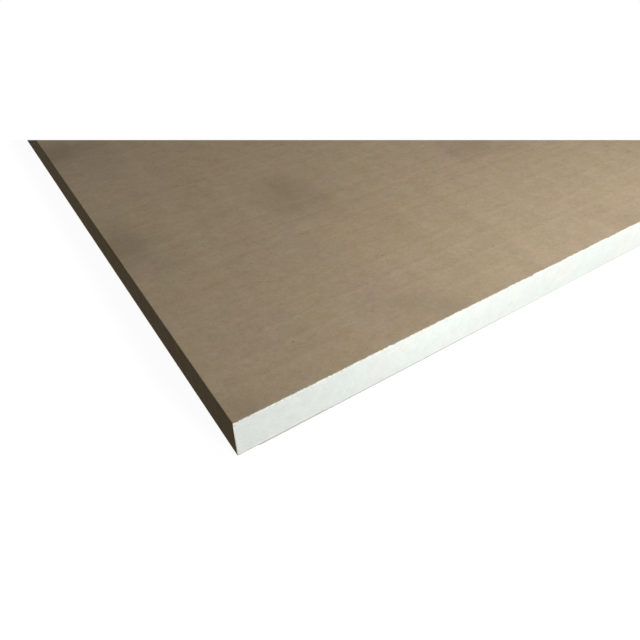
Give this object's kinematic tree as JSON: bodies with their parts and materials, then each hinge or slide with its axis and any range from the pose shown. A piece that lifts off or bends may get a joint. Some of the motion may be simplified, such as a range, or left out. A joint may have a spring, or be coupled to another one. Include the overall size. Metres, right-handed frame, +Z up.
{
  "type": "drywall sheet",
  "caption": "Flat square-edged gypsum wallboard sheet in brown paper, long edges wrapped, cut ends showing the bare core.",
  "frame": {"origin": "centre of the sheet's underside, on the floor that it lies on", "axes": "+X across the width, +Y along the length, +Z up out of the brown face"},
  "size_m": [1.2192, 2.4384, 0.0127],
  "materials": {
    "gypsum": "matte",
    "brown_kraft": "matte",
    "grey_kraft": "matte"
  },
  "bodies": {
    "root": {"gypsum_core": "gypsum", "face_paper": "brown_kraft", "back_paper": "grey_kraft"}
  },
  "joints": []
}
